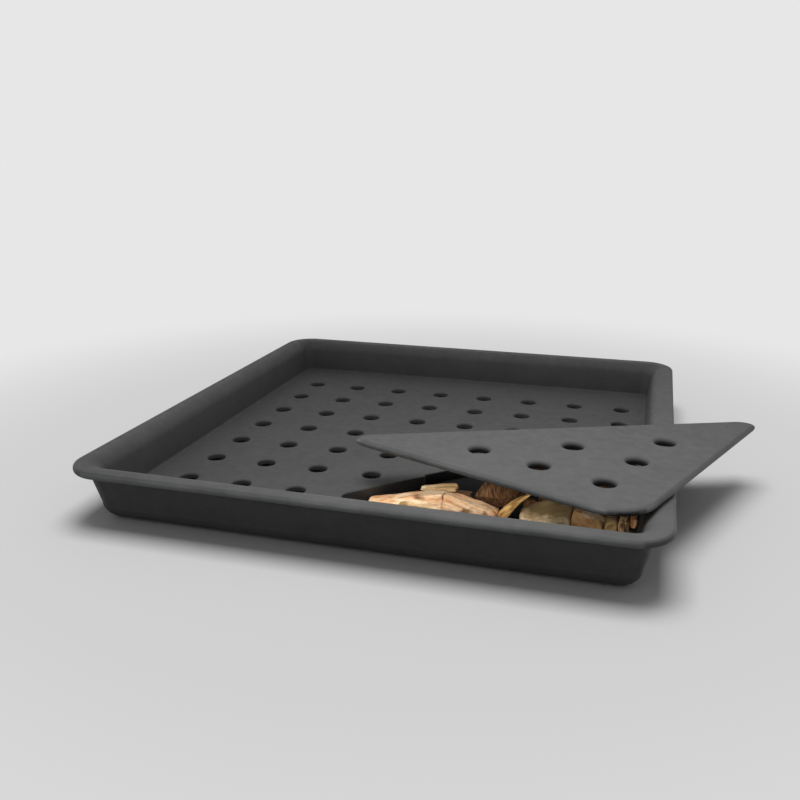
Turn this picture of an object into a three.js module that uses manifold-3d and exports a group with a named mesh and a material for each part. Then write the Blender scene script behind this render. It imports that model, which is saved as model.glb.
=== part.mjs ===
// Smoker tray for a gas grill, in millimetres, +Z up.
// A square cast-iron pan with a perforated floor, a triangular pocket for wood chips in its
// front right corner, and a loose triangular lid that lies ajar over the pocket.
// The model is drawn about the middle of the tray, with the base at height zero. At the end
// the whole group is moved so that its origin is the bottom centre of its bounding box.

import * as THREE from 'three';
import { mergeVertices } from 'three/addons/utils/BufferGeometryUtils.js';
import Module from 'manifold-3d';

const wasm = await Module();
wasm.setup();

// Tray walls and rim
const trayWidth = 370;
const trayDepth = 382;
const trayHeight = 39;
const rimWidth = 17.5;
const wallDraft = 5.6;
const innerDraft = 2.6;
const wallCornerRadius = 13;
const floorCornerRadius = 6;
const baseRound = 12;
const lipOverhang = 9.5;
const lipThickness = 4.9;
const lipEdgeRound = 2.2;
const lipCornerRadius = 24;
const rimInnerRound = 10;

// Perforated floor
const floorHeight = 12;
const floorThickness = 3.5;
const floorFillet = 2;
const footWidth = 5;
const holePitch = 40;
const holeColumns = 8;
const holeRows = 7;
const holeShiftRight = 5;
const boreRadius = 6.5;
const mouthRound = 1.5;

// Chip pocket
const pocketLeg = 194;
const pocketWallGap = 1;
const pocketBottom = 3.5;
const pocketWall = 5;
const pocketTipRadius = 7;
const pocketCornerRadius = 12;
const pocketToHoles = 15;
const notchDepth = 2.4;
const notchStartShare = 0.28;

// Lid
const lidOverlap = 16;
const lidThickness = 5;
const lidEdgeRound = 2.2;
const lidCornerRadius = 26;
const lidTipRadius = 6;
const lidHolePitch = 44;
const lidHoleMargin = 35;
const lidHolesOnLeg = 3;
const lidBoreRadius = 6.5;
const lidMouthRound = 3;
const lidYaw = THREE.MathUtils.degToRad(67.6);
const lidCornerFromRight = 21.2;
const lidCornerFromFront = 17.2;

// Wood chips, from the bottom of the heap to its top. A chip's length, width, thickness and
// bend are shares of one chip length, its taper is the share of its thickness that is left at
// each end, and its place is a share of the pocket's leg from the pocket's square corner.
// Turns are yaw, pitch and roll in degrees.
const chipLength = 50;
const chipStations = 6;
const chipThinShare = 0.14;
const chipChamferShare = 0.24;
const chipRoughShare = 0.07;
const chipSlantShare = 0.2;
const chipShares = [
  { size: [0.99, 0.36, 0.285], taper: [0.22, 1], bend: 0, left: 0.739, back: 0.085, turn: [5, 0, 0] },
  { size: [0.66, 0.33, 0.32], taper: [1, 0.45], bend: 0, left: 0.516, back: 0.075, turn: [-3, 0, 0] },
  { size: [0.58, 0.08, 0.23], taper: [1, 0.78], bend: 0, left: 0.672, back: 0.02, turn: [1, 0, 0] },
  { size: [0.6, 0.42, 0.2], taper: [1, 1], bend: 0, left: 0.438, back: 0.198, turn: [-25, -12, 24] },
  { size: [0.7, 0.22, 0.2], taper: [0.7, 1], bend: 0, left: 0.622, back: 0.173, turn: [0, 0, 0] },
  { size: [0.68, 0.4, 0.32], taper: [1, 0.9], bend: 0, left: 0.222, back: 0.25, turn: [12, 0, 0] },
  { size: [0.6, 0.44, 0.42], taper: [0.45, 1], bend: 0, left: 0.267, back: 0.08, turn: [4, 0, 0] },
  { size: [0.34, 0.36, 0.3], taper: [1, 0.66], bend: 0, left: 0.133, back: 0.075, turn: [-3, 0, 0] },
  { size: [0.34, 0.16, 0.25], taper: [1, 1], bend: 0, left: 0.063, back: 0.072, turn: [90, 0, 0] },
  { size: [0.32, 0.13, 0.285], taper: [1, 1], bend: 0, left: 0.024, back: 0.075, turn: [90, 0, 0] },
  { size: [0.58, 0.32, 0.26], taper: [1, 0.8], bend: 0, left: 0.065, back: 0.219, turn: [75, 0, 0] },
  { size: [0.6, 0.36, 0.22], taper: [0.7, 1], bend: 0, left: 0.318, back: 0.405, turn: [40, 0, 0] },
  { size: [0.56, 0.32, 0.24], taper: [1, 0.7], bend: 0, left: 0.102, back: 0.384, turn: [-30, 0, 0] },
  { size: [0.54, 0.19, 0.09], taper: [0.8, 0.9], bend: 0, left: 0.646, back: 0.165, turn: [3, -5, 0] },
  { size: [0.52, 0.1, 0.16], taper: [1, 0.28], bend: 0.03, left: 0.372, back: 0.07, turn: [0, -52, 0] },
  { size: [0.16, 0.12, 0.26], taper: [1, 0.8], bend: 0, left: 0.329, back: 0.157, turn: [10, 0, 0] },
  { size: [0.66, 0.44, 0.41], taper: [1, 1], bend: 0, left: 0.236, back: 0.222, turn: [-20, 0, 0] },
  { size: [0.34, 0.085, 0.15], taper: [0.9, 1], bend: 0, left: -0.004, back: 0.08, turn: [90, 0, 0] },
];
const chipTones = [0xd9b384, 0xcfa673, 0xc99a62, 0xb98a58, 0x8f6238, 0xd3a245];

// Clearances and cutting
const restGap = 0.3;
const letDownStep = 2;
const letDownHalvings = 8;
const overrun = 1;
const edgeRoundShareMax = 0.46;
const cornerSteps = 8;
const roundSteps = 4;
const mouthSteps = 2;
const baseSteps = 7;
const holeSides = 16;

// Sizes that follow from the ones above
const halfWidth = trayWidth / 2;
const halfDepth = trayDepth / 2;
const lipUnderside = trayHeight - lipThickness;
const floorUnderside = floorHeight - floorThickness;
const footInset = lipOverhang + wallDraft + baseRound;
const hollowInset = footInset + footWidth;
const floorInset = rimWidth + innerDraft + floorFillet;
const lidLeg = pocketLeg + lidOverlap;
const lipRound = Math.min(lipEdgeRound, edgeRoundShareMax * lipThickness);
const lidRound = Math.min(lidEdgeRound, edgeRoundShareMax * lidThickness);

const castIron = { color: 0x3d3e3d, roughness: 0.78, metalness: 0.35 };

// A point on a quarter round: turn 0 is the start of the arc and 1 is its end.
function quarter(turn) {
  const angle = (turn * Math.PI) / 2;
  return { sin: Math.sin(angle), cos: Math.cos(angle) };
}

// The plan corners of the lip, the wall and the floor have their own radii, and from one to
// the next the radius changes evenly with the inset.
function cornerRadius(inset) {
  if (inset < lipOverhang) {
    return THREE.MathUtils.lerp(lipCornerRadius, wallCornerRadius, inset / lipOverhang);
  }
  const share = (inset - lipOverhang) / (floorInset - lipOverhang);
  return THREE.MathUtils.lerp(wallCornerRadius, floorCornerRadius, share);
}

// One level of the tray: a rounded rectangle, set in from the tray's outer size.
function trayRing(inset, height) {
  const radius = Math.max(cornerRadius(inset), lipRound);
  const straightX = halfWidth - inset - radius;
  const straightY = halfDepth - inset - radius;
  const signs = [[1, 1], [-1, 1], [-1, -1], [1, -1]];
  const ring = [];
  signs.forEach(([sideX, sideY], corner) => {
    for (let step = 0; step <= cornerSteps; step += 1) {
      const angle = ((corner + step / cornerSteps) * Math.PI) / 2;
      ring.push(new THREE.Vector3(
        sideX * straightX + radius * Math.cos(angle),
        sideY * straightY + radius * Math.sin(angle),
        height,
      ));
    }
  });
  return ring;
}

// A closed solid through a stack of rings with the same number of points, capped flat.
function loft(rings) {
  const count = rings[0].length;
  const positions = rings.flat().flatMap((point) => [point.x, point.y, point.z]);
  const faces = [];
  for (let level = 0; level < rings.length - 1; level += 1) {
    for (let side = 0; side < count; side += 1) {
      const next = (side + 1) % count;
      const a = level * count + side;
      const b = level * count + next;
      faces.push(a, b, b + count, a, b + count, a + count);
    }
  }
  const flat = (ring) => ring.map((point) => new THREE.Vector2(point.x, point.y));
  const top = (rings.length - 1) * count;
  THREE.ShapeUtils.triangulateShape(flat(rings[0]), []).forEach(([a, b, c]) => {
    faces.push(a, c, b);
  });
  THREE.ShapeUtils.triangulateShape(flat(rings[rings.length - 1]), []).forEach(([a, b, c]) => {
    faces.push(top + a, top + b, top + c);
  });
  const geometry = new THREE.BufferGeometry();
  geometry.setAttribute('position', new THREE.Float32BufferAttribute(positions, 3));
  geometry.setIndex(faces);
  return geometry;
}

function toSolid(geometry) {
  const bare = geometry.clone();
  bare.deleteAttribute('normal');
  bare.deleteAttribute('uv');
  const merged = mergeVertices(bare);
  return new wasm.Manifold(new wasm.Mesh({
    numProp: 3,
    vertProperties: new Float32Array(merged.attributes.position.array),
    triVerts: new Uint32Array(merged.index.array),
  }));
}

function toGeometry(solid) {
  const mesh = solid.getMesh();
  const geometry = new THREE.BufferGeometry();
  geometry.setAttribute('position', new THREE.BufferAttribute(mesh.vertProperties, 3));
  geometry.setIndex(new THREE.BufferAttribute(mesh.triVerts, 1));
  geometry.computeVertexNormals();
  return geometry;
}

// A polygon, given counter-clockwise, with each corner rounded to its own radius.
function roundedPolygon(corners) {
  const points = [];
  corners.forEach(({ point, radius }, index) => {
    const before = corners[(index + corners.length - 1) % corners.length].point;
    const after = corners[(index + 1) % corners.length].point;
    const back = before.clone().sub(point).normalize();
    const ahead = after.clone().sub(point).normalize();
    const half = Math.acos(THREE.MathUtils.clamp(back.dot(ahead), -1, 1)) / 2;
    const middle = back.clone().add(ahead).normalize();
    const centre = point.clone().addScaledVector(middle, radius / Math.sin(half));
    const start = point.clone().addScaledVector(back, radius / Math.tan(half)).sub(centre);
    const turn = Math.PI - 2 * half;
    const way = Math.sign(ahead.cross(back));
    for (let step = 0; step <= cornerSteps; step += 1) {
      const arm = start.clone().rotateAround(new THREE.Vector2(), (way * turn * step) / cornerSteps);
      points.push(centre.clone().add(arm));
    }
  });
  return new THREE.Shape(points);
}

function prism(shape, low, high) {
  const geometry = new THREE.ExtrudeGeometry(shape, { depth: high - low, bevelEnabled: false });
  geometry.translate(0, 0, low);
  return geometry;
}

// A round hole through a plate, with its top edge rounded over.
function holeCutter(bore, round, low, high) {
  const profile = [new THREE.Vector2(0, low - overrun), new THREE.Vector2(bore, low - overrun)];
  for (let step = 0; step <= mouthSteps; step += 1) {
    const { sin, cos } = quarter(step / mouthSteps);
    profile.push(new THREE.Vector2(bore + round * (1 - cos), high - round * (1 - sin)));
  }
  profile.push(new THREE.Vector2(bore + round, high + overrun));
  profile.push(new THREE.Vector2(0, high + overrun));
  const geometry = new THREE.LatheGeometry(profile, holeSides);
  geometry.rotateX(Math.PI / 2);
  return geometry;
}

// The full tray as a solid dish: the outside from the base up, over the lip, down the inside
// and across the floor.
function dish() {
  const rings = [];
  for (let step = 0; step <= baseSteps; step += 1) {
    const { sin, cos } = quarter(step / baseSteps);
    rings.push(trayRing(footInset - baseRound * sin, baseRound * (1 - cos)));
  }
  rings.push(trayRing(lipOverhang, lipUnderside));
  for (let step = 0; step <= roundSteps; step += 1) {
    const { sin, cos } = quarter(step / roundSteps);
    rings.push(trayRing(lipRound * (1 - sin), lipUnderside + lipRound * (1 - cos)));
  }
  for (let step = 0; step <= roundSteps; step += 1) {
    const { sin, cos } = quarter(step / roundSteps);
    rings.push(trayRing(lipRound * (1 - cos), trayHeight - lipRound * (1 - sin)));
  }
  for (let step = 0; step <= roundSteps; step += 1) {
    const { sin, cos } = quarter(step / roundSteps);
    rings.push(trayRing(
      rimWidth - rimInnerRound * (1 - sin),
      trayHeight - rimInnerRound * (1 - cos),
    ));
  }
  for (let step = 0; step <= roundSteps; step += 1) {
    const { sin, cos } = quarter(step / roundSteps);
    rings.push(trayRing(
      floorInset - floorFillet * cos,
      floorHeight + floorFillet * (1 - sin),
    ));
  }
  return loft(rings);
}

// The pocket's right-angled triangle in plan, grown outward all round by a wall thickness.
const pocketRight = halfWidth - floorInset - pocketWallGap;
const pocketFront = (-(holeRows - 1) * holePitch) / 2 - boreRadius;

function pocketCorners(grow) {
  const leg = pocketLeg + grow * (2 + Math.SQRT2);
  const right = pocketRight + grow;
  const front = pocketFront - grow;
  return {
    leftTip: new THREE.Vector2(right - leg, front),
    square: new THREE.Vector2(right, front),
    rightTip: new THREE.Vector2(right, front + leg),
  };
}

// The mouth of the pocket. The middle of its long side is set back a little.
function pocketMouth() {
  const { leftTip, square, rightTip } = pocketCorners(0);
  const along = (share) => rightTip.clone().lerp(leftTip, share);
  const outward = new THREE.Vector2(-1, 1).normalize().multiplyScalar(notchDepth);
  const notchRadius = notchDepth / 2;
  return roundedPolygon([
    { point: leftTip, radius: pocketTipRadius },
    { point: square, radius: pocketCornerRadius },
    { point: rightTip, radius: pocketTipRadius },
    { point: along(notchStartShare), radius: notchRadius },
    { point: along(notchStartShare).add(outward), radius: notchRadius },
    { point: along(1 - notchStartShare).add(outward), radius: notchRadius },
    { point: along(1 - notchStartShare), radius: notchRadius },
  ]);
}

function pocketOutside() {
  const { leftTip, square, rightTip } = pocketCorners(pocketWall);
  return roundedPolygon([
    { point: leftTip, radius: pocketTipRadius + pocketWall },
    { point: square, radius: pocketCornerRadius + pocketWall },
    { point: rightTip, radius: pocketTipRadius + pocketWall },
  ]);
}

// The holes stand on a square grid and stop short of the pocket's long side.
function floorHoles() {
  const { leftTip } = pocketCorners(0);
  const cutters = [];
  for (let row = 0; row < holeRows; row += 1) {
    for (let column = 0; column < holeColumns; column += 1) {
      const x = (column - (holeColumns - 1) / 2) * holePitch + holeShiftRight;
      const y = (row - (holeRows - 1) / 2) * holePitch;
      const toPocket = (leftTip.x - leftTip.y - (x - y)) / Math.SQRT2;
      if (toPocket >= pocketToHoles) {
        const cutter = holeCutter(boreRadius, mouthRound, floorUnderside, floorHeight);
        cutters.push(toSolid(cutter.translate(x, y, 0)));
      }
    }
  }
  return cutters;
}

function trayCasting() {
  const underFloor = loft([
    trayRing(hollowInset, -overrun),
    trayRing(hollowInset, floorUnderside),
  ]);
  const pocketBlock = prism(pocketOutside(), -overrun * 2, floorHeight);
  const hollow = toSolid(underFloor).subtract(toSolid(pocketBlock));
  const mouth = toSolid(prism(pocketMouth(), pocketBottom, floorHeight + overrun));
  return floorHoles().reduce(
    (solid, cutter) => solid.subtract(cutter),
    toSolid(dish()).subtract(hollow).subtract(mouth),
  );
}

// The lid is drawn with its square corner at the origin, one leg along X and one along Y.
function lidPlate() {
  const corner = (x, y, radius) => ({ point: new THREE.Vector2(x, y), radius });
  const outline = roundedPolygon([
    corner(0, 0, lidCornerRadius),
    corner(lidLeg, 0, lidTipRadius),
    corner(0, lidLeg, lidTipRadius),
  ]);
  const plate = new THREE.ExtrudeGeometry(outline, {
    depth: lidThickness - 2 * lidRound,
    bevelThickness: lidRound,
    bevelSize: lidRound,
    bevelOffset: -lidRound,
    bevelSegments: roundSteps,
  });
  plate.translate(0, 0, lidRound);
  let solid = toSolid(plate);
  for (let row = 0; row < lidHolesOnLeg; row += 1) {
    for (let column = 0; column < lidHolesOnLeg - row; column += 1) {
      const x = lidHoleMargin + column * lidHolePitch;
      const y = lidHoleMargin + row * lidHolePitch;
      const cutter = holeCutter(lidBoreRadius, lidMouthRound, 0, lidThickness);
      solid = solid.subtract(toSolid(cutter.translate(x, y, 0)));
    }
  }
  return solid;
}

// Steady scatter between -1 and 1, the same on every run.
function scatter(seed) {
  const wave = Math.sin(seed * 12.9898 + 78.233) * 43758.5453;
  return 2 * (wave - Math.floor(wave)) - 1;
}

// A chip's section, in halves of its width and thickness: a box with its corners cut off.
const chipSection = [[1, 1], [-1, 1], [-1, -1], [1, -1]].flatMap(([sideX, sideY], corner) => {
  const cut = 1 - 2 * chipChamferShare;
  const pair = [[sideX, cut * sideY], [cut * sideX, sideY]];
  return corner % 2 === 0 ? pair : pair.reverse();
});

// One split piece of wood: boxy in section, thinner at its broken ends, a little uneven. Its
// underside is straight, and its upper side slopes from one end's thickness to the other's.
function chipBody({ size, taper, bend }, seed) {
  const [length, width, thick] = size.map((share) => share * chipLength);
  const rings = [];
  for (let station = 0; station <= chipStations; station += 1) {
    const share = station / chipStations;
    const way = 2 * share - 1;
    const thin = 1 - chipThinShare * way ** 4;
    const height = thick * THREE.MathUtils.lerp(taper[0], taper[1], share);
    const bow = chipLength * bend * (1 - way * way);
    const ring = chipSection.map(([across, up], side) => {
      const rough = thin * (1 - chipRoughShare * (1 + scatter(seed * 31 + station * 7 + side)));
      const slant = chipSlantShare * way * way * scatter(seed * 17 + side + station) * height;
      return new THREE.Vector3(
        (across * rough * width) / 2,
        ((1 + up * rough) * height - thick) / 2 + bow,
        (way * length + slant) / 2,
      );
    });
    rings.push(ring);
  }
  const geometry = loft(rings);
  geometry.rotateX(Math.PI / 2);
  geometry.rotateZ(Math.PI / 2);
  return geometry;
}

function namedMesh(name, geometry, finish) {
  const mesh = new THREE.Mesh(geometry, new THREE.MeshStandardMaterial(finish));
  mesh.name = name;
  return mesh;
}

// Lets a mesh down from above until it meets the solid below it, and leaves the rest gap.
// What it gives back is the solid below with the mesh added.
function letDown(mesh, below) {
  mesh.updateMatrix();
  const solid = toSolid(mesh.geometry.clone().applyMatrix4(mesh.matrix));
  const meets = (height) => !solid.translate([0, 0, height]).intersect(below).isEmpty();
  let clear = 2 * trayHeight;
  let touching = clear - letDownStep;
  while (!meets(touching)) {
    clear = touching;
    touching -= letDownStep;
  }
  for (let halving = 0; halving < letDownHalvings; halving += 1) {
    const between = (clear + touching) / 2;
    if (meets(between)) {
      touching = between;
    } else {
      clear = between;
    }
  }
  mesh.position.z = clear + restGap;
  return below.add(solid.translate([0, 0, clear + restGap]));
}

function woodChip(shares, index) {
  const { left, back, turn } = shares;
  const finish = { color: chipTones[index % chipTones.length], roughness: 0.85, metalness: 0 };
  const name = `wood_chip_${String(index + 1).padStart(2, '0')}`;
  const chip = namedMesh(name, chipBody(shares, index + 1), finish);
  const [yaw, pitch, roll] = turn.map(THREE.MathUtils.degToRad);
  const { square } = pocketCorners(0);
  chip.rotation.set(roll, pitch, yaw, 'ZYX');
  chip.position.set(square.x - left * pocketLeg, square.y + back * pocketLeg, 0);
  return chip;
}

const castTray = trayCasting();
const tray = namedMesh('tray_casting', toGeometry(castTray), castIron);
const chips = chipShares.map(woodChip);
const filledTray = chips.reduce((below, chip) => letDown(chip, below), castTray);

// The lid lies on the right-hand rim and on the top of the heap.
const lid = namedMesh('pocket_lid', toGeometry(lidPlate()), castIron);
lid.position.set(halfWidth - lidCornerFromRight, -halfDepth + lidCornerFromFront, 0);
lid.rotation.z = lidYaw;
letDown(lid, filledTray);

const smokerTray = new THREE.Group();
smokerTray.add(tray, lid, ...chips);

// Stand the group on its bounding box's bottom centre.
const bounds = new THREE.Box3().setFromObject(smokerTray, true);
const middle = bounds.getCenter(new THREE.Vector3());
smokerTray.position.set(-middle.x, -middle.y, -bounds.min.z);

export default smokerTray;
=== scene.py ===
# %% [markdown]
# A cast-iron smoker tray with a pocket of wood chips
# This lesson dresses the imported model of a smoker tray. The frame gives every piece at its
# real size, in metres, with +Z up, and the lesson never moves a piece of it. It casts a finer
# tray and lid over the plain ones, splits and splinters the wood chips, and gives each
# surface a finish worked out by nodes.

import math

import bmesh
import bpy
import numpy as np
from mathutils import Matrix, Vector, noise


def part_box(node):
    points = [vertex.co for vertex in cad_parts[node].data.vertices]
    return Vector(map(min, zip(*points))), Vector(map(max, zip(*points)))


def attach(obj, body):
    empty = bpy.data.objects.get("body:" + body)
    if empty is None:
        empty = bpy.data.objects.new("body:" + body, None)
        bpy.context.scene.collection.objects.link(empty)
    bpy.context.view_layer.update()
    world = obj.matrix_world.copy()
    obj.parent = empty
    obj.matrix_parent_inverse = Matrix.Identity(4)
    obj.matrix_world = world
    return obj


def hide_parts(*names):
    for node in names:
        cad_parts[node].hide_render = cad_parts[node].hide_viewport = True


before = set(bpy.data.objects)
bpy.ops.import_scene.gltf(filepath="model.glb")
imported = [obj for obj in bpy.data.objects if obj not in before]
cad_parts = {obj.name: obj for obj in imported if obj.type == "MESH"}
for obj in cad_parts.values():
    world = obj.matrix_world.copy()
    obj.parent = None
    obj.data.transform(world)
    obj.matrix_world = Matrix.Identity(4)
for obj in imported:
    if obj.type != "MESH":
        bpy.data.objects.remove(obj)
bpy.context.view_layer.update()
MM = 0.001
print("pieces in the frame:", len(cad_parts))

# %% [markdown]
# The camera
# The photograph looks down on the front right corner from close by, so its perspective is
# strong. A camera can be turned by hand until it matches, or it can be given the angles and
# the distance that were worked out from the grid of holes. The angles are easier to read.

# %% Place the camera
tray_low, tray_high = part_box("tray_casting")
tray_foot = Vector(((tray_low.x + tray_high.x) / 2, (tray_low.y + tray_high.y) / 2, tray_low.z))
LOOK_AT = tray_foot + Vector((-45.8, 93.6, 12)) * MM
CAMERA_AZIMUTH = math.radians(16.5)
CAMERA_ELEVATION = math.radians(17.2)
CAMERA_DISTANCE = 765 * MM
LENS_MM = 38.6

camera = bpy.data.objects.new("camera", bpy.data.cameras.new("camera"))
bpy.context.scene.collection.objects.link(camera)
bpy.context.scene.camera = camera
camera.data.lens = LENS_MM
towards_camera = Vector((
    math.sin(CAMERA_AZIMUTH) * math.cos(CAMERA_ELEVATION),
    -math.cos(CAMERA_AZIMUTH) * math.cos(CAMERA_ELEVATION),
    math.sin(CAMERA_ELEVATION),
))
camera.location = LOOK_AT + towards_camera * CAMERA_DISTANCE
camera.rotation_euler = (-towards_camera).to_track_quat("-Z", "Y").to_euler()
print("camera at", [round(part, 3) for part in camera.location])

# %% [markdown]
# The cast tray
# The real tray is one sand casting: a flat rim rolled outwards, walls that lean in a little so
# that the casting leaves its mould, a large round at the foot of the walls, and a raised floor
# full of round holes. A casting has no sharp edges. It could be carved from a block and then
# bevelled, but bevels fail where many curves meet. Here a stack of rounded rectangles, each a
# little further in or higher up than the last, is skinned over. Every round is then a quarter
# circle of rings, as fine as wanted.

# %% Sizes of the tray
RIM_WIDTH = 17.5 * MM
WALL_DRAFT = 5.6 * MM
INNER_DRAFT = 2.6 * MM
WALL_CORNER = 13 * MM
FLOOR_CORNER = 6 * MM
BASE_ROUND = 12 * MM
LIP_OVERHANG = 9.5 * MM
LIP_THICKNESS = 4.9 * MM
LIP_EDGE = 2.2 * MM
LIP_CORNER = 24 * MM
RIM_INNER_ROUND = 10 * MM
FLOOR_HEIGHT = 12 * MM
FLOOR_THICKNESS = 3.5 * MM
FLOOR_FILLET = 2 * MM
FOOT_WIDTH = 5 * MM

half_width = (tray_high.x - tray_low.x) / 2
half_depth = (tray_high.y - tray_low.y) / 2
tray_height = tray_high.z - tray_low.z
foot_inset = LIP_OVERHANG + WALL_DRAFT + BASE_ROUND
hollow_inset = foot_inset + FOOT_WIDTH
floor_inset = RIM_WIDTH + INNER_DRAFT + FLOOR_FILLET
floor_underside = FLOOR_HEIGHT - FLOOR_THICKNESS
print("tray, mm:", [round(2 * size / MM, 1) for size in (half_width, half_depth)])

# %% Rings of the tray
CORNER_STEPS = 16


def corner_radius(inset):
    """Less and less round from the lip inwards."""
    if inset < LIP_OVERHANG:
        return LIP_CORNER + (WALL_CORNER - LIP_CORNER) * inset / LIP_OVERHANG
    share = (inset - LIP_OVERHANG) / (floor_inset - LIP_OVERHANG)
    return max(WALL_CORNER + (FLOOR_CORNER - WALL_CORNER) * share, LIP_EDGE)


def tray_ring(inset, height):
    """A rounded rectangle this far inside the tray's outline, at this height."""
    radius = corner_radius(inset)
    straight = Vector((half_width - inset - radius, half_depth - inset - radius, 0))
    ring = []
    for corner, (side_x, side_y) in enumerate(((1, 1), (-1, 1), (-1, -1), (1, -1))):
        for step in range(CORNER_STEPS + 1):
            angle = (corner + step / CORNER_STEPS) * math.pi / 2
            ring.append(tray_foot + Vector((
                side_x * straight.x + radius * math.cos(angle),
                side_y * straight.y + radius * math.sin(angle),
                height,
            )))
    return ring


print("points in a ring:", len(tray_ring(0, 0)))

# %% Where the rings lie
ROUND_STEPS = 8
BASE_STEPS = 14


def quarter(steps):
    """Sine and cosine at even steps along a quarter circle."""
    turns = [math.pi / 2 * step / steps for step in range(steps + 1)]
    return [(math.sin(turn), math.cos(turn)) for turn in turns]


def rounded_edge(radius, low, high):
    """How far in and how high the rings lie on an edge that is rounded below and above."""
    lower = [(radius * (1 - sine), low + radius * (1 - cosine))
             for sine, cosine in quarter(ROUND_STEPS)]
    upper = [(radius * (1 - cosine), high - radius * (1 - sine))
             for sine, cosine in quarter(ROUND_STEPS)]
    return lower + upper


def dish_rings():
    """From the foot up the leaning wall, round the lip, and down the inner wall to the floor."""
    lip_underside = tray_height - LIP_THICKNESS
    places = [(foot_inset - BASE_ROUND * sine, BASE_ROUND * (1 - cosine))
              for sine, cosine in quarter(BASE_STEPS)]
    places.append((LIP_OVERHANG, lip_underside))
    places += rounded_edge(LIP_EDGE, lip_underside, tray_height)
    places += [(RIM_WIDTH - RIM_INNER_ROUND * (1 - sine),
                tray_height - RIM_INNER_ROUND * (1 - cosine))
               for sine, cosine in quarter(ROUND_STEPS)]
    places += [(floor_inset - FLOOR_FILLET * cosine, FLOOR_HEIGHT + FLOOR_FILLET * (1 - sine))
               for sine, cosine in quarter(ROUND_STEPS)]
    return [tray_ring(inset, height) for inset, height in places]


print("rings of the tray:", len(dish_rings()))


# %% Skin the rings
def put_in_scene(name, mesh):
    piece = bpy.data.objects.new(name, mesh)
    bpy.context.scene.collection.objects.link(piece)
    return piece


def mesh_from(name, points, faces):
    mesh = bpy.data.meshes.new(name)
    mesh.from_pydata([tuple(point) for point in points], [], faces)
    mesh.update()
    return mesh


def skin(name, rings):
    """A closed mesh through a stack of rings, from the lowest outside to the last one."""
    count = len(rings[0])
    faces = [list(reversed(range(count)))]
    for level in range(len(rings) - 1):
        for side in range(count):
            a = level * count + side
            b = level * count + (side + 1) % count
            faces.append([a, b, b + count, a + count])
    faces.append([(len(rings) - 1) * count + side for side in range(count)])
    return mesh_from(name, [point for ring in rings for point in ring], faces)


dish = skin("dish", dish_rings())
print("dish faces:", len(dish.polygons))

# %% [markdown]
# The chip pocket
# The pocket is a right-angled triangle sunk into the front right corner, with a closed bottom
# so that the chips smoulder away from the coals. Its long side steps back a little in the
# middle. It could be drawn as a curve and extruded, but then its rounded edges would need a
# bevel. Here its outline is a list of corners, each with a radius of its own, and the same
# outline is grown or shrunk step by step as the cutter rises.

# %% Sizes of the pocket
HOLE_PITCH = 40 * MM
HOLE_ROWS = 7
BORE_RADIUS = 6.5 * MM
POCKET_LEG = 194 * MM
POCKET_WALL_GAP = 1 * MM
POCKET_BOTTOM = 3.5 * MM
POCKET_WALL = 5 * MM
POCKET_TIP = 7 * MM
POCKET_CORNER = 12 * MM
POCKET_EDGE_ROUND = 0.9 * MM
NOTCH_DEPTH = 2.4 * MM
NOTCH_SHARE = 0.28

pocket_right = tray_foot.x + half_width - floor_inset - POCKET_WALL_GAP
pocket_front = tray_foot.y - (HOLE_ROWS - 1) / 2 * HOLE_PITCH - BORE_RADIUS


def pocket_corners(grow):
    """Left tip, square corner and back tip of the triangle, its sides moved out by grow."""
    leg = POCKET_LEG + grow * (2 + math.sqrt(2))
    right, front = pocket_right + grow, pocket_front - grow
    return Vector((right - leg, front)), Vector((right, front)), Vector((right, front + leg))


def pocket_mouth():
    """The triangle's corners and radii, with the middle of its long side stepped back."""
    left_tip, square, right_tip = pocket_corners(0)
    step_back = Vector((-1, 1)).normalized() * NOTCH_DEPTH
    near, far = (right_tip.lerp(left_tip, share) for share in (NOTCH_SHARE, 1 - NOTCH_SHARE))
    radius = NOTCH_DEPTH / 2
    return [
        (left_tip, POCKET_TIP), (square, POCKET_CORNER), (right_tip, POCKET_TIP),
        (near, radius), (near + step_back, radius), (far + step_back, radius), (far, radius),
    ]


print("pocket's square corner, mm:", [round(part / MM, 1) for part in pocket_corners(0)[1]])


# %% Outlines with rounded corners
def grown(corners, amount):
    """The same outline with each side moved outwards, and the radii changed to suit."""
    count = len(corners)
    sides = []
    for index in range(count):
        start, finish = corners[index][0], corners[(index + 1) % count][0]
        along = (finish - start).normalized()
        outward = Vector((along.y, -along.x))
        sides.append((start + outward * amount, along))
    result = []
    for index in range(count):
        (first, first_way), (second, second_way) = sides[index - 1], sides[index]
        turn = first_way.x * second_way.y - first_way.y * second_way.x
        gap = second - first
        reach = (gap.x * second_way.y - gap.y * second_way.x) / turn
        radius = corners[index][1] + math.copysign(amount, turn)
        result.append((first + first_way * reach, radius))
    return result


def rounded_outline(corners, height):
    """The outline as points at one height, each corner an arc of its own radius."""
    count = len(corners)
    outline = []
    for index, (point, radius) in enumerate(corners):
        back = (corners[index - 1][0] - point).normalized()
        ahead = (corners[(index + 1) % count][0] - point).normalized()
        half = math.acos(max(-1, min(1, back.dot(ahead)))) / 2
        centre = point + (back + ahead).normalized() * radius / math.sin(half)
        arm = point + back * radius / math.tan(half) - centre
        way = math.copysign(1, ahead.x * back.y - ahead.y * back.x)
        for step in range(CORNER_STEPS + 1):
            angle = way * (math.pi - 2 * half) * step / CORNER_STEPS
            turned = Matrix.Rotation(angle, 2) @ arm
            outline.append(Vector((*(centre + turned), height)))
    return outline


print("points round the pocket:", len(rounded_outline(pocket_mouth(), FLOOR_HEIGHT)))

# %% Shape the pocket's cutter
OVERRUN = 1 * MM
MOUTH_STEPS = 6


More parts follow.
